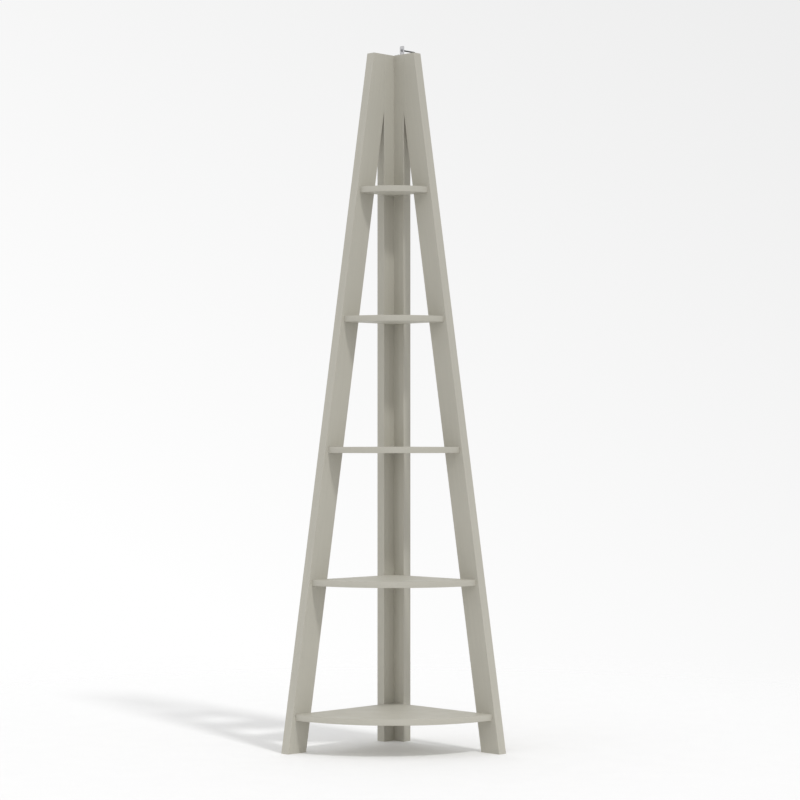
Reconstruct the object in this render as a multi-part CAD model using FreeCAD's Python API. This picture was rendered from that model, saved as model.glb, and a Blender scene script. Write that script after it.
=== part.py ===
"""Corner ladder shelf: two raked side frames that meet in a room corner and carry five quarter-round shelves.

Millimetres, +Z up. The origin is the room corner at floor level. The right wall is the plane y = 0 and
runs along +X, the left wall is the plane x = 0 and runs along -Y, and the room lies towards +X and -Y.
Pieces of the right frame are laid out by their reach along the right wall and their height. Those of the
left frame are the same pieces mirrored in the upright plane through the diagonal of the corner.
"""

import FreeCAD, Part
import math
import os

# Overall sizes
unit_height = 1750.0
foot_reach = 390.0

# Planks of the side frames
plank_width = 60.0
plank_thickness = 25.0
plank_edge_round = 1.0
rail_top_width = 36.0

# Quarter-round shelves, from the bottom one up
shelf_names = ("bottom_shelf", "lower_shelf", "middle_shelf", "upper_shelf", "top_shelf")
bottom_shelf_height = 96.0
top_shelf_drop = 344.0
shelf_thickness = 15.0
shelf_setback = 8.5
shelf_edge_chamfer = 1.0

# Connecting screws with a countersunk head and a hex socket
screw_grip_length = 15.0
screw_head_diameter = 9.5
screw_head_sink = 0.3
screw_shank_diameter = 6.0
screw_socket_width = 4.0
screw_socket_depth = 2.8

# Wood dowels
dowel_diameter = 8.0
dowel_chamfer = 1.0
shelf_dowel_grip_length = 18.0
shelf_dowel_plank_share = 0.48
frame_dowel_end_gap = 4.0

# Places of the fixings
post_screw_share = 0.6
rail_fixing_spread_share = 0.5
corner_screw_rise_share = 0.35
corner_dowel_rise_share = 0.65
frame_dowel_rise_shares = (0.3, 0.77)

# Angle bracket on the end of the right post
bracket_width = 14.5
bracket_thickness = 1.5
bracket_rise = 27.0
bracket_margin = 3.0
bracket_bend_radius = 1.0
bracket_corner_radius = 2.5
bracket_hole_diameter = 4.5
wall_hole_rise_share = 0.58

# Pan-head screws of the bracket
pan_head_diameter = 7.0
pan_head_height = 2.4
pan_crown_diameter = 4.8
pan_crown_height = 1.1
pan_neck_diameter = 3.2
pan_shank_diameter = 4.0
pan_point_length = 6.0
pan_point_diameter = 0.8
pan_recess_span = 4.0
pan_recess_width = 1.0
pan_recess_depth = 1.5
wall_screw_length = 50.0
bracket_screw_length = 25.0

# Room around what is fitted, and how far a cut runs past the face that it opens
fit_clearance = 0.1
hole_end_clearance = 1.0
cut_overrun = 5.0

# Directions and turns
CENTRE = FreeCAD.Vector(0, 0, 0)
ALONG_WALL = FreeCAD.Vector(1, 0, 0)
INTO_WALL = FreeCAD.Vector(0, 1, 0)
UP = FreeCAD.Vector(0, 0, 1)
CORNER_DIAGONAL = FreeCAD.Vector(1, 1, 0)
QUARTER_TURN = 90
HALF_TURN = 180
FULL_TURN = 360
HEX_SIDES = 6
BAR_SIDES = 10

# Sizes that follow from the ones above
top_reach = plank_width + rail_top_width
rake = (foot_reach - top_reach) / unit_height
rail_level_width = plank_width * math.hypot(1, rake)
scribe_height = (foot_reach - rail_level_width - plank_width) / rake
shelf_pitch = (unit_height - top_shelf_drop - bottom_shelf_height) / (len(shelf_names) - 1)
shelf_heights = [bottom_shelf_height + i * shelf_pitch for i in range(len(shelf_names))]
shelf_fixing_heights = [height - shelf_thickness / 2 for height in shelf_heights]
screw_length = plank_thickness - screw_head_sink + screw_grip_length
post_screw_reach = plank_thickness + post_screw_share * (plank_width - plank_thickness)
shelf_dowel_sink = plank_thickness * (1 - shelf_dowel_plank_share)
shelf_dowel_length = plank_thickness - shelf_dowel_sink + shelf_dowel_grip_length
frame_dowel_length = 2 * (plank_width - plank_thickness - shelf_dowel_grip_length - frame_dowel_end_gap)
bracket_reach = plank_width / 2
bracket_depth = plank_thickness - bracket_margin
bracket_outer_radius = bracket_bend_radius + bracket_thickness
wall_hole_height = unit_height + wall_hole_rise_share * bracket_rise


# Reaches along the wall

def rail_front(height):
    """Reach of the rail's front edge at a height."""
    return foot_reach - rake * height


def rail_rear(height):
    """Reach of the rail's rear edge at a height, which follows the post above the scribed joint."""
    return max(rail_front(height) - rail_level_width, plank_width)


def shelf_end(top_height):
    """Reach of the end of a shelf whose top is at a height."""
    return rail_front(top_height) - shelf_setback


def shelf_seat_on_rail(fixing_height):
    """Reach of the middle, and the length, of the contact between the rail and the shelf fixed at a height."""
    rear = rail_rear(fixing_height)
    front = shelf_end(fixing_height + shelf_thickness / 2)
    return (rear + front) / 2, front - rear


# Solids and their places

def turned(outline):
    """Solid of revolution about +Z from an outline of (radius, height) points that ends on the axis at both ends."""
    points = [FreeCAD.Vector(radius, 0, height) for radius, height in outline]
    points.append(points[0])
    return Part.Face(Part.makePolygon(points)).revolve(CENTRE, UP, FULL_TURN)


def many_sided(outline, sides):
    """Solid about +Z with flat sides, from an outline of (radius to the corners, height) points."""
    turns = [math.tau * i / sides for i in range(sides)]
    rings = []
    for radius, height in outline:
        rings.append([FreeCAD.Vector(radius * math.cos(turn), radius * math.sin(turn), height) for turn in turns])
    faces = [rings[0][::-1], rings[-1]]
    for low, high in zip(rings, rings[1:]):
        faces += [[low[i - 1], low[i], high[i], high[i - 1]] for i in range(sides)]
    return Part.Solid(Part.Shell([Part.Face(Part.makePolygon(face + face[:1])) for face in faces]))


def rounded(shape, radius, is_wanted):
    """Round the edges that a test picks."""
    return shape.makeFillet(radius, [edge for edge in shape.Edges if is_wanted(edge)])


def cut_all(shape, cutters):
    """Take every cutter out of a shape that stays one solid."""
    return shape.cut(Part.makeCompound(cutters)).Solids[0]


def placed(shape, axis, turn, place):
    """Copy of a shape, turned about an axis through the origin and then moved to a place."""
    copy = shape.copy()
    copy.rotate(CENTRE, axis, turn)
    copy.translate(place)
    return copy


def from_wall(shape, reach, height, sink):
    """Copy of a shape made along +Z that points from the right wall into the room, sunk below the wall's face."""
    return placed(shape, ALONG_WALL, QUARTER_TURN, FreeCAD.Vector(reach, -sink, height))


def left_side(shape):
    """The left frame's copy of a piece of the right frame."""
    return shape.mirror(CENTRE, CORNER_DIAGONAL)


def left_sides(shapes):
    """The left frame's copies of several pieces of the right frame."""
    return [left_side(shape) for shape in shapes]


# Connecting screw and dowel, with the holes that take them

def connecting_screw():
    """Countersunk screw with a hex socket, its head's face on the origin and its end along +Z."""
    head = screw_head_diameter / 2
    shank = screw_shank_diameter / 2
    body = many_sided([(head, 0), (shank, head - shank), (shank, screw_length)], BAR_SIDES)
    socket_corner = screw_socket_width / 2 / math.cos(math.pi / HEX_SIDES)
    socket = many_sided([(socket_corner, 0), (socket_corner, screw_socket_depth)], HEX_SIDES)
    return cut_all(body, [socket])


def screw_hole():
    """Countersunk hole for the connecting screw, open at the wall."""
    mouth = screw_head_diameter / 2 + fit_clearance
    bore = screw_shank_diameter / 2 + fit_clearance
    return many_sided([
        (mouth + cut_overrun, -cut_overrun),
        (bore, mouth - bore),
        (bore, screw_length + hole_end_clearance),
    ], BAR_SIDES)


def dowel(length):
    """Wood dowel with chamfered ends, from the origin along +Z."""
    radius = dowel_diameter / 2
    end_radius = radius - dowel_chamfer
    return many_sided([
        (end_radius, 0),
        (radius, dowel_chamfer),
        (radius, length - dowel_chamfer),
        (end_radius, length),
    ], BAR_SIDES)


def dowel_hole(length):
    """Hole for a dowel, with room past both of its ends."""
    radius = dowel_diameter / 2 + fit_clearance
    return many_sided([(radius, -hole_end_clearance), (radius, length + hole_end_clearance)], BAR_SIDES)


# Places of the fixings on the right frame, one beside or above each shelf

def through_post(shape):
    """Copies through the right post into the shelves."""
    return [from_wall(shape, post_screw_reach, z, screw_head_sink) for z in shelf_fixing_heights]


def through_rail(shape):
    """Copies through the rear half of the right rail into the shelves."""
    copies = []
    for z in shelf_fixing_heights:
        middle, length = shelf_seat_on_rail(z)
        copies.append(from_wall(shape, middle - length * rail_fixing_spread_share / 2, z, screw_head_sink))
    return copies


def inside_rail(shape):
    """Copies between the front half of the right rail and the shelves."""
    copies = []
    for z in shelf_fixing_heights:
        middle, length = shelf_seat_on_rail(z)
        copies.append(from_wall(shape, middle + length * rail_fixing_spread_share / 2, z, shelf_dowel_sink))
    return copies


def along_corner(shape, rise_share, sink):
    """Copies from the right post into the left post's rear edge, one in the space above each shelf."""
    heights = [z + rise_share * shelf_pitch for z in shelf_heights]
    return [from_wall(shape, plank_thickness / 2, z, sink) for z in heights]


def across_frame_joint(shape):
    """Copies along the wall through the upright butt joint of the right post and rail."""
    reach = plank_width - frame_dowel_length / 2
    copies = []
    for share in frame_dowel_rise_shares:
        height = scribe_height + share * (unit_height - scribe_height)
        place = FreeCAD.Vector(reach, -plank_thickness / 2, height)
        copies.append(placed(shape, INTO_WALL, QUARTER_TURN, place))
    return copies


# Planks and shelves, whole

def post(rear_reach):
    """Upright plank of the right frame from a rear reach to the front, with its front edges eased."""
    corner = FreeCAD.Vector(rear_reach, -plank_thickness, 0)
    plank = Part.makeBox(plank_width - rear_reach, plank_thickness, unit_height, corner)

    def is_front(edge):
        return edge.BoundBox.XMin > rear_reach + plank_edge_round and edge.BoundBox.ZLength > plank_width

    return rounded(plank, plank_edge_round, is_front)


def rail():
    """Raked plank of the right frame, level at floor and top, scribed upright where it meets the post."""
    outline = [
        FreeCAD.Vector(rail_rear(0), 0, 0),
        FreeCAD.Vector(foot_reach, 0, 0),
        FreeCAD.Vector(top_reach, 0, unit_height),
        FreeCAD.Vector(plank_width, 0, unit_height),
        FreeCAD.Vector(plank_width, 0, scribe_height),
    ]
    outline.append(outline[0])
    plank = Part.Face(Part.makePolygon(outline)).extrude(INTO_WALL * -plank_thickness)

    def is_raked(edge):
        return edge.BoundBox.XLength > plank_edge_round and edge.BoundBox.ZLength > plank_edge_round

    return rounded(plank, plank_edge_round, is_raked)


def shelf(top_height):
    """Quarter-round shelf with its straight edges on the inner faces of both frames and its round edge eased."""
    radius = shelf_end(top_height) - plank_thickness
    apex = FreeCAD.Vector(plank_thickness, -plank_thickness, top_height - shelf_thickness)
    board = Part.makeCylinder(radius, shelf_thickness, apex, UP, QUARTER_TURN)
    board.rotate(apex, UP, -QUARTER_TURN)
    arcs = [edge for edge in board.Edges if isinstance(edge.Curve, Part.Circle)]
    return board.makeChamfer(shelf_edge_chamfer, arcs)


# Wall bracket and its screws

def bracket():
    """Bent angle that stands on the end of the right post, with rounded tips and a hole in each leg."""
    outer = bracket_outer_radius

    def point(depth, rise):
        return FreeCAD.Vector(0, -depth, rise)

    def bend_middle(radius):
        side = outer - radius * math.sqrt(0.5)
        return point(side, side)

    corners = [
        point(0, outer),
        point(0, bracket_rise),
        point(bracket_thickness, bracket_rise),
        point(bracket_thickness, outer),
    ]
    ends = [
        point(outer, bracket_thickness),
        point(bracket_depth, bracket_thickness),
        point(bracket_depth, 0),
        point(outer, 0),
    ]
    outline = [
        Part.makePolygon(corners),
        Part.Arc(corners[-1], bend_middle(bracket_bend_radius), ends[0]).toShape(),
        Part.makePolygon(ends),
        Part.Arc(ends[-1], bend_middle(outer), corners[0]).toShape(),
    ]
    strip = Part.Face(Part.Wire([edge for run in outline for edge in run.Edges]))
    angle = strip.extrude(ALONG_WALL * bracket_width)

    def is_tip(edge):
        box = edge.BoundBox
        on_tip = box.ZMin > bracket_rise - fit_clearance or box.YMax < fit_clearance - bracket_depth
        return on_tip and box.XLength < fit_clearance

    angle = rounded(angle, bracket_corner_radius, is_tip)
    angle.translate(FreeCAD.Vector(bracket_reach - bracket_width / 2, 0, unit_height))
    hole = Part.makeCylinder(bracket_hole_diameter / 2, 2 * cut_overrun, UP * -cut_overrun)
    return cut_all(angle, [
        from_wall(hole, bracket_reach, wall_hole_height, 0),
        placed(hole, UP, 0, FreeCAD.Vector(bracket_reach, -plank_thickness / 2, unit_height)),
    ])


def pan_screw(length):
    """Pan-head screw with a cross recess, its head seated on the origin and its point along +Z."""
    neck = pan_neck_diameter / 2
    shank = pan_shank_diameter / 2
    body = turned([
        (0, -pan_head_height),
        (pan_crown_diameter / 2, -pan_head_height),
        (pan_head_diameter / 2, pan_crown_height - pan_head_height),
        (pan_head_diameter / 2, 0),
        (neck, 0),
        (neck, bracket_thickness),
        (shank, bracket_thickness),
        (shank, length - pan_point_length),
        (pan_point_diameter / 2, length),
        (0, length),
    ])
    corner = FreeCAD.Vector(-pan_recess_span / 2, -pan_recess_width / 2, -pan_head_height)
    slot = Part.makeBox(pan_recess_span, pan_recess_width, pan_recess_depth, corner)
    return cut_all(body, [slot.fuse(placed(slot, UP, QUARTER_TURN, CENTRE))])


def wall_screw():
    """Screw through the bracket's upright leg, its free end past the wall's face."""
    place = FreeCAD.Vector(bracket_reach, -bracket_thickness, wall_hole_height)
    return placed(pan_screw(wall_screw_length), ALONG_WALL, -QUARTER_TURN, place)


def bracket_screw():
    """Screw through the bracket's flat leg, down into the end of the right post."""
    place = FreeCAD.Vector(bracket_reach, -plank_thickness / 2, unit_height + bracket_thickness)
    return placed(pan_screw(bracket_screw_length), ALONG_WALL, HALF_TURN, place)


def bracket_screw_hole():
    """Pilot hole for the bracket's screw in the end of the right post."""
    depth = bracket_screw_length - bracket_thickness + hole_end_clearance
    foot = FreeCAD.Vector(bracket_reach, -plank_thickness / 2, unit_height - depth)
    return Part.makeCylinder(pan_shank_diameter / 2 + fit_clearance, depth + cut_overrun, foot)


# The assembly

def fastener_nodes():
    """Each group of fasteners by name, as a list of separate solids."""
    screw = connecting_screw()
    shelf_dowel = dowel(shelf_dowel_length)
    post_screws = through_post(screw)
    rail_screws = through_rail(screw)
    rail_dowels = inside_rail(shelf_dowel)
    frame_dowels = across_frame_joint(dowel(frame_dowel_length))
    return {
        "right_post_screws": post_screws,
        "left_post_screws": left_sides(post_screws),
        "right_rail_screws": rail_screws,
        "left_rail_screws": left_sides(rail_screws),
        "right_rail_dowels": rail_dowels,
        "left_rail_dowels": left_sides(rail_dowels),
        "right_frame_dowels": frame_dowels,
        "left_frame_dowels": left_sides(frame_dowels),
        "corner_screws": along_corner(screw, corner_screw_rise_share, screw_head_sink),
        "corner_dowels": along_corner(shelf_dowel, corner_dowel_rise_share, shelf_dowel_sink),
        "wall_screw": [wall_screw()],
        "bracket_screw": [bracket_screw()],
    }


def board_nodes():
    """Each plank and shelf by name, drilled for its fasteners."""
    post_holes = through_post(screw_hole())
    rail_holes = through_rail(screw_hole())
    rail_dowel_holes = inside_rail(dowel_hole(shelf_dowel_length))
    frame_holes = across_frame_joint(dowel_hole(frame_dowel_length))
    corner_holes = along_corner(screw_hole(), corner_screw_rise_share, screw_head_sink)
    corner_holes += along_corner(dowel_hole(shelf_dowel_length), corner_dowel_rise_share, shelf_dowel_sink)
    side_holes = post_holes + frame_holes
    drilled_rail = cut_all(rail(), rail_holes + rail_dowel_holes + frame_holes)
    nodes = {
        "right_post": cut_all(post(0), side_holes + corner_holes + [bracket_screw_hole()]),
        "left_post": cut_all(left_side(post(plank_thickness)), left_sides(side_holes) + corner_holes),
        "right_rail": drilled_rail,
        "left_rail": left_side(drilled_rail),
    }
    edge_holes = zip(post_holes, rail_holes, rail_dowel_holes)
    for name, height, holes in zip(shelf_names, shelf_heights, edge_holes):
        nodes[name] = cut_all(shelf(height), list(holes) + left_sides(holes))
    return nodes


def build():
    """Write one file for each node."""
    os.makedirs("parts", exist_ok=True)
    nodes = {name: [board] for name, board in board_nodes().items()}
    nodes["wall_bracket"] = [bracket()]
    nodes.update(fastener_nodes())
    for name, solids in nodes.items():
        node = solids[0] if len(solids) == 1 else Part.makeCompound(solids)
        node.exportStep(os.path.join("parts", name + ".step"))


build()
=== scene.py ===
"""Looks of a corner ladder shelf.

Painted planks, quarter-round boards, a zinc wall bracket, screws and dowels.
"""

import math

import bmesh
import bpy
from bpy.props import FloatProperty, FloatVectorProperty, IntProperty, PointerProperty
from mathutils import Matrix, Vector


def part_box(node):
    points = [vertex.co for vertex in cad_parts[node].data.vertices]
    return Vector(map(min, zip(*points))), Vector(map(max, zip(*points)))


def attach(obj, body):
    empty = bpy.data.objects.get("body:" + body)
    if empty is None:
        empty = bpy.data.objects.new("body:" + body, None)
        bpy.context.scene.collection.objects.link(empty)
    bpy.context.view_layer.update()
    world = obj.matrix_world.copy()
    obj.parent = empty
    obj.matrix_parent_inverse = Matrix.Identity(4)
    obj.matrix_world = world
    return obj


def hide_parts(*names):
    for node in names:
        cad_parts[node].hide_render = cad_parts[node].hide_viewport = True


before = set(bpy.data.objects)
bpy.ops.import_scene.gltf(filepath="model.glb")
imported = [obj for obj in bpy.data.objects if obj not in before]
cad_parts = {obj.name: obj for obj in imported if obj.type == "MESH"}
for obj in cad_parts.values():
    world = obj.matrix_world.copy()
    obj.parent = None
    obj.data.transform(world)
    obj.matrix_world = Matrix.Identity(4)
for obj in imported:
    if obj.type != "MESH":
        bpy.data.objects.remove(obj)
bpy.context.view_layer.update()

bl_info = {
    "name": "Corner Ladder Shelf",
    "version": (1, 0, 0),
    "blender": (4, 5, 0),
    "location": "3D View > Sidebar > Ladder Shelf",
    "description": "Paints the planks of a corner ladder shelf and builds its boards, "
                   "bracket, screws and dowels",
    "category": "Object",
}

ORIGIN = Vector((0, 0, 0))
ALONG_X = Vector((1, 0, 0))
ALONG_Y = Vector((0, 1, 0))
UP = Vector((0, 0, 1))
ROOM_RIGHT = Vector((1, 1, 0)).normalized()
ROOM_FRONT = Vector((1, -1, 0)).normalized()
QUARTER_TURN = math.radians(90)
HALF_TURN = math.radians(180)
FULL_TURN = math.radians(360)
HEX_SIDES = 6
WHITE = (1, 1, 1, 1)

# Points closer than this are one point, in metres
WELD = 1e-6

# Height without points that parts one fastener of a row from the next, in metres
ROW_GAP = 0.04

# Angle from which an edge is shaded as sharp
SHARP_ANGLE = math.radians(35)

# Shares of a thread's pitch at which its flank starts, its crest starts and its crest ends
THREAD_FLANK, THREAD_CREST, THREAD_FALL = 0.45, 0.68, 0.77

# Turns of thread that are made before the shank's start and cut off
SPARE_TURNS = 2

# Range that holds nearly all values of a noise
NOISE_RANGE = (0.3, 0.7)

# Stretch of a pattern along the wood's grain and along drawn metal
GRAIN_STRETCH = (1, 1, 0.025)
DRAWN_STRETCH = (1, 1, 0.05)

# Turn that keeps the left post's grain from repeating the right post's, in radians
LEFT_POST_TURN = 0.3

# Depth of the lines in drawn metal, in metres
DRAWN_DEPTH = 0.000004

# Darker tone of cloudy plating and of paper fibres, as a share of the colour
CLOUD_TONE = 0.86
FIBRE_TONE = 0.99

# Width of the camera's sensor, in millimetres
SENSOR_WIDTH = 36

SHELVES = ("bottom_shelf", "lower_shelf", "middle_shelf", "upper_shelf", "top_shelf")

# Fasteners by name, with the way each one points from its head or first end
CONNECTING_SCREWS = {
    "right_post_screws": -ALONG_Y,
    "right_rail_screws": -ALONG_Y,
    "corner_screws": -ALONG_Y,
    "left_post_screws": ALONG_X,
    "left_rail_screws": ALONG_X,
}
BRACKET_SCREWS = {"wall_screw": ALONG_Y, "bracket_screw": -UP}
DOWELS = {
    "right_rail_dowels": -ALONG_Y,
    "left_rail_dowels": ALONG_X,
    "right_frame_dowels": ALONG_X,
    "left_frame_dowels": -ALONG_Y,
    "corner_dowels": -ALONG_Y,
}

# Fasteners that reach into the shelf boards, by side
BOARD_FASTENERS = (
    ("right_post_screws", "right_rail_screws", "right_rail_dowels"),
    ("left_post_screws", "left_rail_screws", "left_rail_dowels"),
)


# Settings

def tint(name, description, default):
    """Colour setting."""
    return FloatVectorProperty(
        name=name, description=description, default=default, subtype="COLOR", size=3, min=0, max=1,
    )


def length(name, description, default):
    """Length setting in metres."""
    return FloatProperty(
        name=name, description=description, default=default, unit="LENGTH", min=0, precision=5,
    )


def share(name, description, default):
    """Setting from 0 to 1."""
    return FloatProperty(
        name=name, description=description, default=default, subtype="FACTOR", min=0, max=1,
    )


def count(name, description, default):
    """Number of faces."""
    return IntProperty(name=name, description=description, default=default, min=1)


class PaintSettings(bpy.types.PropertyGroup):
    """Satin paint on the planks and boards."""

    colour: tint("Colour", "Warm light grey of the paint", (0.500, 0.482, 0.418))
    shade: tint("Shade", "Slightly deeper tone where the coat is thicker", (0.474, 0.457, 0.396))
    gloss_low: share("Roughness, smooth", "Roughness where the coat has levelled out", 0.46)
    gloss_high: share("Roughness, dry", "Roughness where the coat is dry and thin", 0.60)
    grain_depth: length("Grain depth", "How far the wood's grain shows through the coat", 0.00006)
    stipple_depth: length("Stipple depth", "Depth of the roller's stipple", 0.00004)


class BoardSettings(bpy.types.PropertyGroup):
    """Quarter-round shelf boards."""

    edge_radius: length("Edge radius", "Rounding of the curved front edge", 0.0006)
    arc_steps: count("Arc steps", "Faces along the quarter-round front", 72)
    edge_steps: count("Edge steps", "Faces across the rounding", 4)
    hole_room: length("Hole room", "Room round a screw or dowel in its hole", 0.0001)
    hole_end: length("Hole end", "Room past the end of a screw or dowel", 0.001)
    hole_steps: count("Hole steps", "Faces round a hole", 24)


class BracketSettings(bpy.types.PropertyGroup):
    """Bent zinc bracket."""

    colour: tint("Colour", "Colour of the zinc plating", (0.56, 0.56, 0.57))
    gloss_low: share("Roughness, bright", "Roughness where the plating is bright", 0.28)
    gloss_high: share("Roughness, dull", "Roughness where the plating is dull", 0.42)
    plate: length("Plate", "Thickness of the plate", 0.0015)
    bend_radius: length("Bend radius", "Outside radius of the bend", 0.0025)
    bend_steps: count("Bend steps", "Faces round the bend", 10)
    tip_radius: length("Tip radius", "Rounding of the corners", 0.0025)
    tip_steps: count("Tip steps", "Faces round a corner", 8)
    hole_radius: length("Hole radius", "Radius of the holes", 0.00225)
    hole_steps: count("Hole steps", "Faces round a hole", 32)
    rim: length("Rim", "Width of the flat rim along the outline and round the holes", 0.0006)
    burr_radius: length("Burr radius", "Tumbled rounding of the plate's edges", 0.00025)
    burr_steps: count("Burr steps", "Faces across the tumbled rounding", 2)


class ScrewSettings(bpy.types.PropertyGroup):
    """Pan-head screws of the bracket and connecting screws of the frames."""

    bright: tint("Bright steel", "Colour of heads and of connecting screws", (0.36, 0.36, 0.37))
    # The dark steel is painted shade: the same plated steel as the heads, made darker to stand in
    # for the shade in the thread's grooves and its darker reflections
    dark: tint("Dark steel", "Colour of the bracket screws' threaded shanks", (0.15, 0.15, 0.15))
    gloss_low: share("Roughness, bright", "Roughness where the plating is bright", 0.3)
    gloss_high: share("Roughness, dull", "Roughness where the plating is dull", 0.45)
    steps: count("Steps", "Faces round a screw", 40)
    pan_radius: length("Pan radius", "Radius of the pan head", 0.0035)
    pan_height: length("Pan height", "Height of the pan head", 0.0024)
    crown: length("Crown", "Height of the domed part of the head", 0.0012)
    crown_steps: count("Crown steps", "Faces from the middle of the dome to its edge", 8)
    neck_radius: length("Neck radius", "Radius of the plain neck in the bracket", 0.0016)
    crest_radius: length("Crest radius", "Radius over the thread", 0.0020)
    core_radius: length("Core radius", "Radius of the shank between the threads", 0.00155)
    pitch: length("Pitch", "Rise of the thread in one turn", 0.0018)
    thread_steps: count("Thread steps", "Faces in one turn of the thread", 24)
    point: length("Point", "Length of the tapered point", 0.006)
    point_share: share("Point share", "Radius of the point's end as a share of the shank's", 0.2)
    recess_span: length("Recess span", "Width of the cross recess", 0.004)
    recess_slot: length("Recess slot", "Width of an arm of the cross recess", 0.0010)
    recess_depth: length("Recess depth", "Depth of the cross recess", 0.0015)
    recess_floor: share("Recess floor", "Size of the recess's floor as a share of its mouth", 0.6)
    head_radius: length("Head radius", "Radius of a connecting screw's flat head", 0.0043)
    head_edge: length("Head edge", "Rounding of the flat head's edge", 0.00015)
    shank_radius: length("Shank radius", "Radius of a connecting screw's shank", 0.0028)
    socket_width: length("Socket width", "Width of the hex socket across its flats", 0.004)
    socket_depth: length("Socket depth", "Depth of the hex socket", 0.0028)


class DowelSettings(bpy.types.PropertyGroup):
    """Fluted beech dowels."""

    colour: tint("Colour", "Early wood of the beech", (0.62, 0.46, 0.29))
    grain: tint("Grain", "Late wood of the beech", (0.46, 0.30, 0.17))
    gloss_low: share("Roughness, smooth", "Roughness of the dense bands", 0.62)
    gloss_high: share("Roughness, open", "Roughness of the open bands", 0.75)
    fleck_depth: length("Fleck depth", "Depth of the beech's flecks", 0.00006)
    radius: length("Radius", "Radius over the flutes", 0.0038)
    flutes: count("Flutes", "Grooves round a dowel", 20)
    flute_share: share("Flute share", "Radius in the grooves as a share of the radius", 0.94)
    end_share: share("End share", "Radius of the ends as a share of the radius", 0.76)
    chamfer: length("Chamfer", "Length of the tapered ends", 0.001)


class StageSettings(bpy.types.PropertyGroup):
    """Floor, light and camera."""

    floor: tint("Floor", "Colour of the floor", (0.95, 0.95, 0.95))
    floor_glow: share("Floor glow", "Light that the floor's white adds of its own", 0.045)
    floor_radius: length("Floor radius", "Size of the floor", 3.2)
    floor_steps: count("Floor steps", "Sides of the floor", 96)
    fade_start: length("Fade start", "Distance at which the floor starts to fade out", 0.4)
    fade_end: length("Fade end", "Distance at which the floor has faded out", 2.4)
    backdrop: share("Backdrop", "Strength of the backdrop straight ahead", 0.955)
    backdrop_right: share("Backdrop, right", "How much the backdrop dims to the right", 0.215)
    backdrop_up: share("Backdrop, up", "How much the backdrop dims upwards", 0.35)
    backdrop_least: share("Backdrop, least", "Strength where the backdrop is dimmest", 0.82)
    sky: share("Sky", "Strength of the light from all round", 0.75)
    sky_lean: share("Sky lean", "How much stronger the light from the left is", 0.155)
    key: FloatProperty(
        name="Key light", description="Strength of the soft light from the upper right", min=0,
        default=1.0,
    )
    key_size: FloatProperty(
        name="Key size", description="Apparent size of the key light", subtype="ANGLE",
        unit="ROTATION", min=0, default=math.radians(6.5),
    )
    key_way: FloatVectorProperty(
        name="Key direction", description="Way to the key light: to the right, to the front and up",
        subtype="DIRECTION", size=3, default=(0.390, 0.479, 0.786),
    )
    camera_distance: length("Camera distance", "From the room corner to the camera", 5.802)
    camera_height: length("Camera height", "Height of the level camera", 0.7785)
    camera_side: length("Camera side step", "Step of the camera to the right", 0.0155)
    camera_lens: FloatProperty(
        name="Lens", description="Focal length on a 36 mm sensor", unit="CAMERA", min=1,
        default=101.52,
    )
    camera_rise: share("Rise", "Upward shift of the lens as a share of the picture", 0.0448)


class ShelfSettings(bpy.types.PropertyGroup):
    """Everything that the panel shows."""

    paint: PointerProperty(type=PaintSettings)
    board: PointerProperty(type=BoardSettings)
    bracket: PointerProperty(type=BracketSettings)
    screw: PointerProperty(type=ScrewSettings)
    dowel: PointerProperty(type=DowelSettings)
    stage: PointerProperty(type=StageSettings)


def settings():
    """The settings of the current scene."""
    return bpy.context.scene.ladder_shelf


# Node trees

def node(tree, kind, sockets=None, **values):
    """Add a node, set its own values, and set or link its input sockets."""
    made = tree.nodes.new(kind)
    for key, value in values.items():
        setattr(made, key, value)
    for key, value in (sockets or {}).items():
        if isinstance(value, bpy.types.NodeSocket):
            tree.links.new(value, made.inputs[key])
        else:
            made.inputs[key].default_value = value
    return made


def arithmetic(tree, operation, *values):
    """Result of an operation on values."""
    made = node(tree, "ShaderNodeMath", dict(enumerate(values)), operation=operation)
    return made.outputs["Value"]


def mapped(tree, vector, **change):
    """Place turned or stretched by a Mapping node."""
    return node(tree, "ShaderNodeMapping", {"Vector": vector, **change}).outputs["Vector"]


def noise(tree, vector, scale, detail, roughness=0.5):
    """Value of a noise texture."""
    sockets = {"Vector": vector, "Scale": scale, "Detail": detail, "Roughness": roughness}
    return node(tree, "ShaderNodeTexNoise", sockets).outputs["Fac"]


def spread(tree, value, low, high, to_low=0.0, to_high=1.0):
    """Value moved from one range to another."""
    sockets = {
        "Value": value, "From Min": low, "From Max": high, "To Min": to_low, "To Max": to_high,
    }
    made = node(tree, "ShaderNodeMapRange", sockets, interpolation_type="SMOOTHSTEP")
    return made.outputs["Result"]


def blend(tree, factor, first, second):
    """Colour between two colours."""
    sockets = {0: factor, 6: (*first, 1), 7: (*second, 1)}
    return node(tree, "ShaderNodeMix", sockets, data_type="RGBA").outputs[2]


def relief(tree, height, depth, normal=None):
    """Normal bent by a height from 0 to 1 that stands for a depth in metres."""
    sockets = {"Height": height, "Strength": 1.0, "Distance": depth}
    if normal:
        sockets["Normal"] = normal
    return node(tree, "ShaderNodeBump", sockets).outputs["Normal"]


def new_material(name):
    """Empty material with its tree, its surface shader and the object's own coordinates."""
    material = bpy.data.materials.new(name)
    material.use_nodes = True
    tree = material.node_tree
    tree.nodes.clear()
    surface = node(tree, "ShaderNodeBsdfPrincipled")
    node(tree, "ShaderNodeOutputMaterial", {"Surface": surface.outputs["BSDF"]})
    place = node(tree, "ShaderNodeTexCoord").outputs["Object"]
    return material, tree, surface, place


def link(tree, surface, **sockets):
    """Link values to the surface's sockets, named with _ for a space."""
    for key, value in sockets.items():
        tree.links.new(value, surface.inputs[key.replace("_", " ")])


# Finishes

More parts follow.
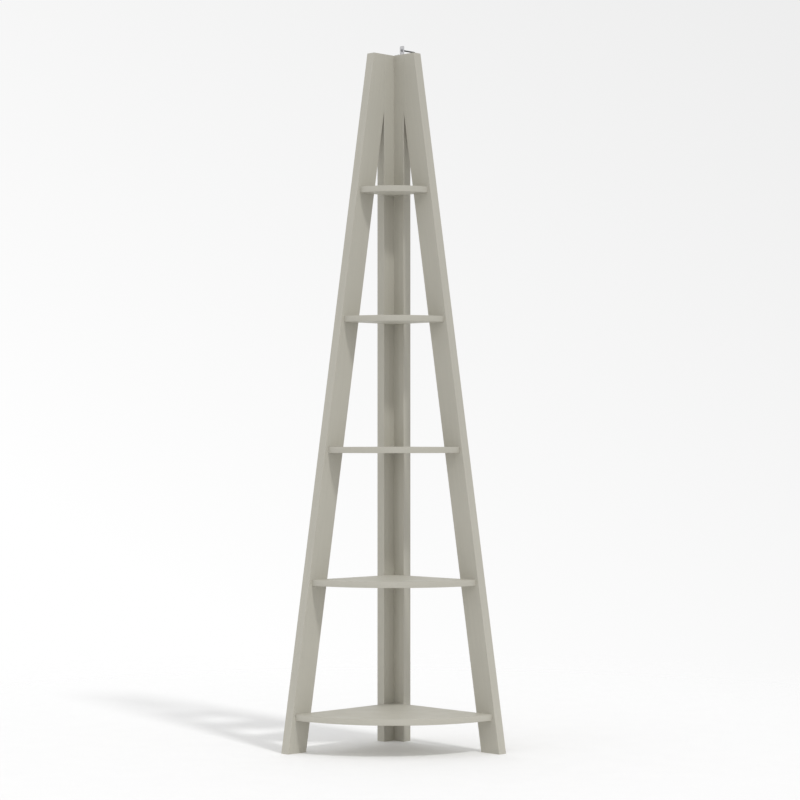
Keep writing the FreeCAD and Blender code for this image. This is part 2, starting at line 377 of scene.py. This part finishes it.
def satin_paint(name, turn):
    """Rolled satin paint over wood, whose grain runs along Z once its place is turned."""
    paint = settings().paint
    material, tree, surface, place = new_material(name)
    board = mapped(tree, place, Rotation=turn)
    along = mapped(tree, board, Scale=GRAIN_STRETCH)
    grain = noise(tree, along, scale=260, detail=5, roughness=0.62)
    coat = arithmetic(tree, "ADD", grain, noise(tree, board, scale=3.1, detail=3))
    tone = blend(tree, spread(tree, coat, low=0.7, high=1.3), paint.colour, paint.shade)
    sheen = noise(tree, board, scale=24, detail=3)
    rough = spread(tree, sheen, *NOISE_RANGE, paint.gloss_low, paint.gloss_high)
    stipple = noise(tree, board, scale=620, detail=2)
    normal = relief(tree, stipple, paint.stipple_depth, relief(tree, grain, paint.grain_depth))
    link(tree, surface, Base_Color=tone, Roughness=rough, Normal=normal)
    return material


def plated_metal(name, colour, gloss_low, gloss_high):
    """Plated metal with fine drawn lines and a cloudy shine."""
    material, tree, surface, place = new_material(name)
    lines = noise(tree, mapped(tree, place, Scale=DRAWN_STRETCH), scale=5200, detail=3)
    cloud = noise(tree, place, scale=310, detail=4)
    darker = [channel * CLOUD_TONE for channel in colour]
    tone = blend(tree, spread(tree, cloud, low=0.35, high=0.65), colour, darker)
    rough = spread(tree, cloud, *NOISE_RANGE, gloss_low, gloss_high)
    surface.inputs["Metallic"].default_value = 1.0
    link(tree, surface, Base_Color=tone, Roughness=rough, Normal=relief(tree, lines, DRAWN_DEPTH))
    return material


def bare_beech():
    """Bare beech with short dark flecks."""
    dowel = settings().dowel
    material, tree, surface, place = new_material("bare_beech")
    fleck = noise(tree, place, scale=900, detail=4, roughness=0.7)
    band = noise(tree, place, scale=140, detail=3)
    mixed = arithmetic(tree, "MULTIPLY", fleck, band)
    tone = blend(tree, spread(tree, mixed, low=0.15, high=0.4), dowel.colour, dowel.grain)
    rough = spread(tree, band, *NOISE_RANGE, dowel.gloss_low, dowel.gloss_high)
    normal = relief(tree, fleck, dowel.fleck_depth)
    link(tree, surface, Base_Color=tone, Roughness=rough, Normal=normal)
    return material


def floor_paper():
    """Pale paper that fades out to the backdrop."""
    stage = settings().stage
    material, tree, surface, place = new_material("pale_floor")
    fibre = noise(tree, place, scale=14, detail=4)
    darker = [channel * FIBRE_TONE for channel in stage.floor]
    tone = blend(tree, spread(tree, fibre, *NOISE_RANGE), stage.floor, darker)
    surface.inputs["Roughness"].default_value = 0.9
    surface.inputs["Specular IOR Level"].default_value = 0.1
    surface.inputs["Emission Color"].default_value = WHITE
    surface.inputs["Emission Strength"].default_value = stage.floor_glow
    link(tree, surface, Base_Color=tone)
    reach = node(tree, "ShaderNodeVectorMath", {0: place}, operation="LENGTH").outputs["Value"]
    gone = spread(tree, reach, stage.fade_start, stage.fade_end)
    clear = node(tree, "ShaderNodeBsdfTransparent").outputs["BSDF"]
    faded = node(tree, "ShaderNodeMixShader", {0: gone, 1: surface.outputs["BSDF"], 2: clear})
    sheet = next(made for made in tree.nodes if made.type == "OUTPUT_MATERIAL")
    tree.links.new(faded.outputs["Shader"], sheet.inputs["Surface"])
    return material


# Pieces and nodes

def mesh_of(bm, name, materials=()):
    """Mesh with its materials from a finished bmesh, which is freed."""
    mesh = bpy.data.meshes.new(name)
    bm.to_mesh(mesh)
    bm.free()
    for material in materials:
        mesh.materials.append(material)
    return mesh


def add_object(name, data):
    """New object in the scene."""
    made = bpy.data.objects.new(name, data)
    bpy.context.scene.collection.objects.link(made)
    return made


def finish_piece(bm, name, materials, node_name):
    """Turn a finished bmesh into a piece that rides on the unit and stands for a CAD node."""
    bmesh.ops.recalc_face_normals(bm, faces=bm.faces)
    mesh = mesh_of(bm, name, materials)
    mesh.set_sharp_from_angle(angle=SHARP_ANGLE)
    piece = add_object(name, mesh)
    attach(piece, "root")
    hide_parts(node_name)


def coat_node(name, material):
    """Give a CAD node its finish."""
    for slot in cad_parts[name].material_slots:
        slot.material = material


def solids_of(name):
    """Lowest and highest corners of a CAD node's solids, which are stacked with room between."""
    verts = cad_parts[name].data.vertices
    points = sorted((vert.co for vert in verts), key=lambda point: point.z)
    stacks = [points[:1]]
    for last, point in zip(points, points[1:]):
        if point.z - last.z > ROW_GAP:
            stacks.append([])
        stacks[-1].append(point)
    return [
        (Vector(map(min, zip(*stack))), Vector(map(max, zip(*stack))))
        for stack in stacks
    ]


# Mesh steps

def only(kind, geom):
    """The items of one kind."""
    return [item for item in geom if isinstance(item, kind)]


def verts_of(geom):
    """The vertices among some geometry."""
    return only(bmesh.types.BMVert, geom)


def edges_between(verts):
    """The edges that run between some vertices."""
    chosen = set(verts)
    edges = dict.fromkeys(edge for vert in verts for edge in vert.link_edges)
    return [edge for edge in edges if chosen.issuperset(edge.verts)]


def with_borders(faces):
    """Faces together with their edges and vertices."""
    borders = dict.fromkeys(part for face in faces for part in (*face.edges, *face.verts))
    return faces + list(borders)


def drawn_out(bm, faces):
    """The far end of extruded faces, which leave no face behind inside the body."""
    return bmesh.ops.extrude_face_region(bm, geom=with_borders(faces))["geom"]


def weld(bm):
    """Merge what lies on the same spot."""
    bmesh.ops.remove_doubles(bm, verts=bm.verts, dist=WELD)


def rounding(bm, geom, radius, steps, affect):
    """Round some edges or vertices."""
    bmesh.ops.bevel(
        bm, geom=geom, offset=radius, offset_type="OFFSET", affect=affect, segments=steps,
        profile=0.5, material=-1,
    )


def shade(bm, is_round):
    """Shade the faces that a test picks as round, and the rest as flat."""
    for face in bm.faces:
        face.smooth = is_round(face)


def join(bm, other, place):
    """Move another bmesh to its place and add it."""
    bmesh.ops.transform(other, matrix=place, verts=other.verts)
    passing = mesh_of(other, "passing")
    bm.from_mesh(passing)
    bpy.data.meshes.remove(passing)


def wire(bm, points):
    """Open wire through points, as a list of its geometry."""
    verts = [bm.verts.new(point) for point in points]
    return verts + [bm.edges.new(pair) for pair in zip(verts, verts[1:])]


def turned(bm, outline, steps):
    """Turn an outline of (radius, height) points about the Z axis."""
    geom = wire(bm, [(radius, 0, height) for radius, height in outline])
    bmesh.ops.spin(
        bm, geom=geom, cent=ORIGIN, axis=UP, angle=FULL_TURN, steps=steps, use_merge=True,
    )
    weld(bm)


def row_of(name, way, make):
    """A fastener for each solid of a CAD node, made along +Z and laid along a way."""
    bm = bmesh.new()
    turn = way.to_track_quat("Z", "Y").to_matrix().to_4x4()
    for low, high in solids_of(name):
        reach = abs((high - low).dot(way))
        place = Matrix.Translation((low + high) / 2 - way * reach / 2)
        join(bm, make(reach), place @ turn)
    return bm


# Shelf boards

def drill_side(bm, low, high, names):
    """Drill one straight edge of a board for the screws and dowels that reach into it."""
    board = settings().board
    way = {**CONNECTING_SCREWS, **DOWELS}[names[0]]
    apex = Vector((low.x, high.y, low.z))
    turn = way.to_track_quat("Z", "Y").to_matrix().to_4x4()

    def inward(spot):
        return (spot - apex).dot(way)

    side = next(
        face for face in bm.faces if all(abs(inward(vert.co)) < WELD for vert in face.verts)
    )
    outline = side.edges[:]
    bmesh.ops.delete(bm, geom=[side], context="FACES_ONLY")
    mouths, depths = [], []
    for name in names:
        radius = settings().dowel.radius if name in DOWELS else settings().screw.shank_radius
        for first, last in solids_of(name):
            middle = (first + last) / 2
            if low.z < middle.z < high.z:
                place = Matrix.Translation(middle - way * inward(middle)) @ turn
                circle = bmesh.ops.create_circle(
                    bm, segments=board.hole_steps, radius=radius + board.hole_room, matrix=place,
                )["verts"]
                mouths.append(edges_between(circle))
                depths.append(max(inward(first), inward(last)) + board.hole_end)
    rims = [edge for mouth in mouths for edge in mouth]
    bmesh.ops.triangle_fill(bm, use_beauty=True, edges=outline + rims)
    for mouth, depth in zip(mouths, depths):
        floor = verts_of(bmesh.ops.extrude_edge_only(bm, edges=mouth)["geom"])
        bmesh.ops.translate(bm, verts=floor, vec=way * depth)
        bmesh.ops.holes_fill(bm, edges=edges_between(floor), sides=board.hole_steps)


def shelf_board(low, high):
    """Quarter-round board that fills a shelf's box, its front rounded and its sides drilled."""
    board = settings().board
    apex = Vector((low.x, high.y, low.z))
    radius = high.x - low.x
    bm = bmesh.new()
    geom = wire(bm, [apex, apex - ALONG_Y * radius])
    bmesh.ops.spin(bm, geom=geom, cent=apex, axis=UP, angle=QUARTER_TURN, steps=board.arc_steps)
    weld(bm)
    bmesh.ops.recalc_face_normals(bm, faces=bm.faces)
    grown = bmesh.ops.extrude_face_region(bm, geom=bm.faces[:])["geom"]
    bmesh.ops.translate(bm, verts=verts_of(grown), vec=UP * (high.z - low.z))
    bmesh.ops.recalc_face_normals(bm, faces=bm.faces)

    def at_front(spot):
        return (spot - apex).to_2d().length > radius - board.edge_radius

    def is_level(edge):
        return abs(edge.verts[0].co.z - edge.verts[1].co.z) < board.edge_radius

    rim = [vert for vert in bm.verts if at_front(vert.co)]
    arcs = [edge for edge in edges_between(rim) if is_level(edge)]
    rounding(bm, arcs, board.edge_radius, board.edge_steps, "EDGES")
    for names in BOARD_FASTENERS:
        drill_side(bm, low, high, names)
    shade(bm, lambda face: at_front(face.calc_center_median()))
    return bm


# Wall bracket

def leg_plate(width, reach, hole_at):
    """Flat leg of the bracket from the bend's edge along +Y, with round tips and a hole."""
    bracket = settings().bracket
    bm = bmesh.new()
    shape = Matrix.Translation(ALONG_Y * reach / 2) @ Matrix.Diagonal((width, reach, 1, 1))
    corners = bmesh.ops.create_grid(
        bm, x_segments=1, y_segments=1, size=0.5, matrix=shape,
    )["verts"]
    tips = [vert for vert in corners if vert.co.y > reach / 2]
    rounding(bm, tips, bracket.tip_radius, bracket.tip_steps, "VERTICES")
    border = bmesh.ops.inset_region(
        bm, faces=bm.faces[:], thickness=bracket.rim, use_even_offset=True,
    )["faces"]
    middle = next(face for face in bm.faces if face not in border)
    inner = middle.edges[:]
    bmesh.ops.delete(bm, geom=[middle], context="FACES_ONLY")

    spot = Matrix.Translation(ALONG_Y * hole_at)
    hole = bmesh.ops.create_circle(
        bm, segments=bracket.hole_steps, radius=bracket.hole_radius, matrix=spot,
    )["verts"]
    ring = verts_of(bmesh.ops.extrude_edge_only(bm, edges=edges_between(hole))["geom"])
    wider = 1 + bracket.rim / bracket.hole_radius
    bmesh.ops.scale(bm, verts=ring, vec=(wider, wider, 1), space=spot.inverted())
    bmesh.ops.triangle_fill(bm, use_beauty=True, edges=inner + edges_between(ring))
    return bm


def bent_bracket():
    """Angle bent from one plate: a leg on the post's end, a bend and a leg up the wall."""
    bracket = settings().bracket
    low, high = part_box("wall_bracket")
    width = high.x - low.x
    outer = bracket.bend_radius
    middle = (low.x + high.x) / 2
    fold = Vector((middle, high.y - outer, low.z))
    post_screw_at = fold.y - sum(corner.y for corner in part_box("bracket_screw")) / 2
    wall_screw_at = sum(corner.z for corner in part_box("wall_screw")) / 2 - low.z - outer

    bm = bmesh.new()
    flat = leg_plate(width, fold.y - low.y, post_screw_at)
    join(bm, flat, Matrix.Translation(fold) @ Matrix.Rotation(HALF_TURN, 4, UP))
    line = [vert for vert in bm.verts if abs(vert.co.y - fold.y) < WELD]
    bmesh.ops.spin(
        bm, geom=line + edges_between(line), cent=fold + UP * outer, axis=ALONG_X,
        angle=QUARTER_TURN, steps=bracket.bend_steps,
    )
    upright = leg_plate(width, high.z - low.z - outer, wall_screw_at)
    bend_end = Matrix.Translation((middle, high.y, low.z + outer))
    join(bm, upright, bend_end @ Matrix.Rotation(QUARTER_TURN, 4, ALONG_X))
    weld(bm)
    bmesh.ops.recalc_face_normals(bm, faces=bm.faces)
    foot = min(bm.faces, key=lambda face: face.calc_center_median().z)
    inward = 1 if foot.normal.z < 0 else -1
    bmesh.ops.solidify(bm, geom=bm.faces[:], thickness=inward * bracket.plate)
    bmesh.ops.recalc_face_normals(bm, faces=bm.faces)
    burrs = [edge for edge in bm.edges if edge.calc_face_angle() > QUARTER_TURN / 2]
    rounding(bm, burrs, bracket.burr_radius, bracket.burr_steps, "EDGES")
    shade(bm, lambda face: True)
    return bm


# Screws

def cross_recess(bm):
    """Cut a tapered cross into the domed head around the origin."""
    screw = settings().screw
    span, slot = screw.recess_span, screw.recess_slot

    def crown():
        return [face for face in bm.faces if face.calc_center_median().z < screw.crown]

    for way in (ALONG_X, ALONG_Y):
        for side in (span, slot, -slot, -span):
            bmesh.ops.bisect_plane(
                bm, geom=with_borders(crown()), dist=WELD, plane_co=way * side / 2, plane_no=way,
            )

    def in_cross(face):
        spot = face.calc_center_median()
        near, far = sorted((abs(spot.x), abs(spot.y)))
        return near < slot / 2 and far < span / 2

    mouth = [face for face in crown() if in_cross(face)]
    floor = verts_of(drawn_out(bm, mouth))
    bmesh.ops.scale(bm, verts=floor, vec=(screw.recess_floor, screw.recess_floor, 0))
    bmesh.ops.translate(bm, verts=floor, vec=UP * screw.recess_depth)


def threaded_shank(start, end):
    """Wood screw's thread between two heights, tapered to a point, in the second material."""
    screw = settings().screw
    bm = bmesh.new()
    steps = screw.thread_steps
    turns = math.ceil((end - start) / screw.pitch) + SPARE_TURNS
    profile = [
        (screw.core_radius, 0),
        (screw.core_radius, THREAD_FLANK),
        (screw.crest_radius, THREAD_CREST),
        (screw.crest_radius, THREAD_FALL),
        (screw.core_radius, 1),
    ]
    geom = wire(bm, [
        (radius, 0, start + (rise - SPARE_TURNS) * screw.pitch) for radius, rise in profile
    ])
    bmesh.ops.spin(
        bm, geom=geom, cent=ORIGIN, axis=UP, dvec=UP * screw.pitch / steps,
        angle=FULL_TURN * turns, steps=steps * turns,
    )
    weld(bm)
    for height, way in ((start, -UP), (end, UP)):
        everything = bm.verts[:] + bm.edges[:] + bm.faces[:]
        bmesh.ops.bisect_plane(
            bm, geom=everything, dist=WELD, plane_co=UP * height, plane_no=way, clear_outer=True,
        )
    bmesh.ops.holes_fill(bm, edges=[edge for edge in bm.edges if edge.is_boundary], sides=0)
    for vert in bm.verts:
        left = min((end - vert.co.z) / screw.point, 1)
        vert.co.xy *= screw.point_share + (1 - screw.point_share) * left
    # The second material is the painted shade of the threaded shank, a darker copy of the head's
    # steel
    for face in bm.faces:
        face.material_index = 1
    return bm


def pan_screw(reach):
    """Pan-head wood screw with its crown on the origin and its point along +Z."""
    screw = settings().screw
    bm = bmesh.new()
    arc = [QUARTER_TURN * i / screw.crown_steps for i in range(screw.crown_steps + 1)]
    outline = [
        (screw.pan_radius * math.sin(turn), screw.crown * (1 - math.cos(turn))) for turn in arc
    ]
    neck_end = screw.pan_height + settings().bracket.plate
    outline += [
        (screw.pan_radius, screw.pan_height),
        (screw.neck_radius, screw.pan_height),
        (screw.neck_radius, neck_end),
        (0, neck_end),
    ]
    turned(bm, outline, screw.steps)
    cross_recess(bm)
    join(bm, threaded_shank(neck_end, reach), Matrix.Identity(4))
    shade(bm, lambda face: True)
    return bm


def connecting_screw(reach):
    """Flat-head screw with a hex socket, its head's face on the origin and its end along +Z."""
    screw = settings().screw
    bm = bmesh.new()
    cone = screw.head_radius - screw.shank_radius
    turned(bm, [
        (screw.head_radius - screw.head_edge, 0),
        (screw.head_radius, screw.head_edge),
        (screw.shank_radius, screw.head_edge + cone),
        (screw.shank_radius, reach - cone),
        (screw.shank_radius - cone / 2, reach),
        (0, reach),
    ], screw.steps)
    rim = [edge for edge in bm.edges if edge.is_boundary]
    corner = screw.socket_width / 2 / math.cos(math.pi / HEX_SIDES)
    hexagon = bmesh.ops.create_circle(bm, segments=HEX_SIDES, radius=corner)["verts"]
    mouth = edges_between(hexagon)
    bmesh.ops.triangle_fill(bm, use_beauty=True, edges=rim + mouth)
    floor = verts_of(bmesh.ops.extrude_edge_only(bm, edges=mouth)["geom"])
    bmesh.ops.translate(bm, verts=floor, vec=UP * screw.socket_depth)
    bmesh.ops.holes_fill(bm, edges=edges_between(floor), sides=HEX_SIDES)
    shade(bm, lambda face: face.calc_center_median().z > WELD)
    return bm


# Dowels

def fluted_dowel(reach):
    """Dowel with grooves along it and tapered ends, from the origin along +Z."""
    dowel = settings().dowel
    bm = bmesh.new()
    ring = bmesh.ops.create_circle(
        bm, cap_ends=True, segments=2 * dowel.flutes, radius=dowel.radius,
    )["verts"]
    bmesh.ops.scale(bm, verts=ring[::2], vec=(dowel.flute_share, dowel.flute_share, 1))
    bmesh.ops.scale(bm, verts=ring, vec=(dowel.end_share, dowel.end_share, 1))
    end = bm.faces[:]
    rises = (
        (dowel.chamfer, 1 / dowel.end_share),
        (reach - 2 * dowel.chamfer, 1),
        (dowel.chamfer, dowel.end_share),
    )
    for rise, size in rises:
        grown = drawn_out(bm, end)
        end = only(bmesh.types.BMFace, grown)
        bmesh.ops.translate(bm, verts=verts_of(grown), vec=UP * rise)
        bmesh.ops.scale(bm, verts=verts_of(grown), vec=(size, size, 1))
    shade(bm, lambda face: False)
    return bm


# Stage

def hang_backdrop():
    """Studio light that is stronger from the left, and a pale graded backdrop.

    The backdrop is what the camera and shiny things see, and the light falls on the rest.
    """
    stage = settings().stage
    world = bpy.data.worlds.new("studio")
    world.use_nodes = True
    tree = world.node_tree
    tree.nodes.clear()
    gaze = node(tree, "ShaderNodeTexCoord").outputs["Generated"]

    def along(way):
        sockets = {0: gaze, 1: way[:]}
        return node(tree, "ShaderNodeVectorMath", sockets, operation="DOT_PRODUCT").outputs["Value"]

    def white(strength):
        sockets = {"Color": WHITE, "Strength": strength}
        return node(tree, "ShaderNodeBackground", sockets).outputs["Background"]

    sky = arithmetic(tree, "MULTIPLY_ADD", along(-ROOM_RIGHT), stage.sky_lean, stage.sky)
    fall = along(ROOM_RIGHT * stage.backdrop_right + UP * stage.backdrop_up)
    dimmed = arithmetic(tree, "SUBTRACT", stage.backdrop, fall)
    limits = {"Value": dimmed, "Min": stage.backdrop_least, "Max": 1.0}
    level = node(tree, "ShaderNodeClamp", limits).outputs["Result"]
    path = node(tree, "ShaderNodeLightPath").outputs
    shiny = arithmetic(tree, "MAXIMUM", path["Is Glossy Ray"], path["Is Transmission Ray"])
    looked = arithmetic(tree, "MAXIMUM", path["Is Camera Ray"], shiny)
    mixed = node(tree, "ShaderNodeMixShader", {0: looked, 1: white(sky), 2: white(level)})
    node(tree, "ShaderNodeOutputWorld", {"Surface": mixed.outputs["Shader"]})
    bpy.context.scene.world = world


def lay_floor():
    """Round sheet of pale paper at floor level."""
    stage = settings().stage
    bm = bmesh.new()
    bmesh.ops.create_circle(
        bm, cap_ends=True, segments=stage.floor_steps, radius=stage.floor_radius,
    )
    floor = add_object("floor", mesh_of(bm, "floor", [floor_paper()]))


def hang_key_light():
    """Soft light from the upper right."""
    stage = settings().stage
    key = add_object("key_light", bpy.data.lights.new("key_light", "SUN"))
    key.data.energy = stage.key
    key.data.angle = stage.key_size
    right, front, up = stage.key_way
    towards_key = ROOM_RIGHT * right + ROOM_FRONT * front + UP * up
    key.rotation_euler = towards_key.to_track_quat("Z", "Y").to_euler()


def set_camera():
    """Level camera in front of the corner."""
    stage = settings().stage
    camera = add_object("camera", bpy.data.cameras.new("camera"))
    camera.data.sensor_width = SENSOR_WIDTH
    camera.data.lens = stage.camera_lens
    camera.data.shift_y = stage.camera_rise
    ahead = ROOM_FRONT * stage.camera_distance
    camera.location = ahead + ROOM_RIGHT * stage.camera_side + UP * stage.camera_height
    camera.rotation_euler = ROOM_FRONT.to_track_quat("Z", "Y").to_euler()
    bpy.context.scene.camera = camera


# Operators

class LADDERSHELF_OT_frames(bpy.types.Operator):
    """Paint the posts and rails"""

    bl_idname = "ladder_shelf.frames"
    bl_label = "Paint the Frames"

    def execute(self, context):
        post_low, post_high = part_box("right_post")
        low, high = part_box("right_rail")
        plank = post_high.x - post_low.x
        lean = math.atan2(high.x - low.x - plank, high.z)
        turns = {
            "right_post": (0, 0, 0),
            "left_post": (0, 0, LEFT_POST_TURN),
            "right_rail": (0, lean, 0),
            "left_rail": (lean, 0, 0),
        }
        for name, turn in turns.items():
            coat_node(name, satin_paint("satin_paint_" + name, turn))
        return {"FINISHED"}


class LADDERSHELF_OT_shelves(bpy.types.Operator):
    """Build the quarter-round shelves"""

    bl_idname = "ladder_shelf.shelves"
    bl_label = "Build the Shelves"

    def execute(self, context):
        paint = satin_paint("satin_paint_boards", (0, QUARTER_TURN, 0))
        for name in SHELVES:
            board = shelf_board(*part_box(name))
            finish_piece(board, name + "_board", [paint], name)
        return {"FINISHED"}


class LADDERSHELF_OT_bracket(bpy.types.Operator):
    """Bend the wall bracket"""

    bl_idname = "ladder_shelf.bracket"
    bl_label = "Bend the Bracket"

    def execute(self, context):
        bracket = settings().bracket
        zinc = plated_metal("bright_zinc", bracket.colour, bracket.gloss_low, bracket.gloss_high)
        finish_piece(bent_bracket(), "wall_bracket_plate", [zinc], "wall_bracket")
        return {"FINISHED"}


class LADDERSHELF_OT_screws(bpy.types.Operator):
    """Turn and thread the screws"""

    bl_idname = "ladder_shelf.screws"
    bl_label = "Turn the Screws"

    def execute(self, context):
        screw = settings().screw
        bright = plated_metal("bright_steel", screw.bright, screw.gloss_low, screw.gloss_high)
        # Lit and shaded copies of one plated steel: the shank's darker copy is painted shade
        dark = plated_metal("shank_painted_shade", screw.dark, screw.gloss_low, screw.gloss_high)
        for name, way in BRACKET_SCREWS.items():
            row = row_of(name, way, pan_screw)
            finish_piece(row, name + "_steel", [bright, dark], name)
        for name, way in CONNECTING_SCREWS.items():
            row = row_of(name, way, connecting_screw)
            finish_piece(row, name + "_steel", [bright], name)
        return {"FINISHED"}


class LADDERSHELF_OT_dowels(bpy.types.Operator):
    """Cut the fluted dowels"""

    bl_idname = "ladder_shelf.dowels"
    bl_label = "Cut the Dowels"

    def execute(self, context):
        beech = bare_beech()
        for name, way in DOWELS.items():
            row = row_of(name, way, fluted_dowel)
            finish_piece(row, name + "_beech", [beech], name)
        return {"FINISHED"}


class LADDERSHELF_OT_stage(bpy.types.Operator):
    """Lay the floor and set the light and the camera"""

    bl_idname = "ladder_shelf.stage"
    bl_label = "Set the Stage"

    def execute(self, context):
        context.scene.view_settings.view_transform = "Standard"
        hang_backdrop()
        lay_floor()
        hang_key_light()
        set_camera()
        return {"FINISHED"}


class LADDERSHELF_PT_build(bpy.types.Panel):
    """Settings and steps of the corner ladder shelf"""

    bl_idname = "LADDERSHELF_PT_build"
    bl_label = "Corner Ladder Shelf"
    bl_space_type = "VIEW_3D"
    bl_region_type = "UI"
    bl_category = "Ladder Shelf"

    def draw(self, context):
        for name in ShelfSettings.__annotations__:
            group = getattr(context.scene.ladder_shelf, name)
            box = self.layout.box()
            box.label(text=name.capitalize())
            for key in group.__annotations__:
                box.prop(group, key)
        for operator in OPERATORS:
            self.layout.operator(operator.bl_idname)


OPERATORS = (
    LADDERSHELF_OT_frames,
    LADDERSHELF_OT_shelves,
    LADDERSHELF_OT_bracket,
    LADDERSHELF_OT_screws,
    LADDERSHELF_OT_dowels,
    LADDERSHELF_OT_stage,
)
CLASSES = (
    PaintSettings,
    BoardSettings,
    BracketSettings,
    ScrewSettings,
    DowelSettings,
    StageSettings,
    ShelfSettings,
    *OPERATORS,
    LADDERSHELF_PT_build,
)


def register():
    """Make the settings, steps and panel known."""
    for cls in CLASSES:
        bpy.utils.register_class(cls)
    bpy.types.Scene.ladder_shelf = PointerProperty(type=ShelfSettings)


def unregister():
    """Take the settings, steps and panel away."""
    del bpy.types.Scene.ladder_shelf
    for cls in reversed(CLASSES):
        bpy.utils.unregister_class(cls)


def main():
    """Run every step in order."""
    register()
    for operator in OPERATORS:
        group, name = operator.bl_idname.split(".")
        getattr(getattr(bpy.ops, group), name)()


if __name__ == "__main__":
    main()
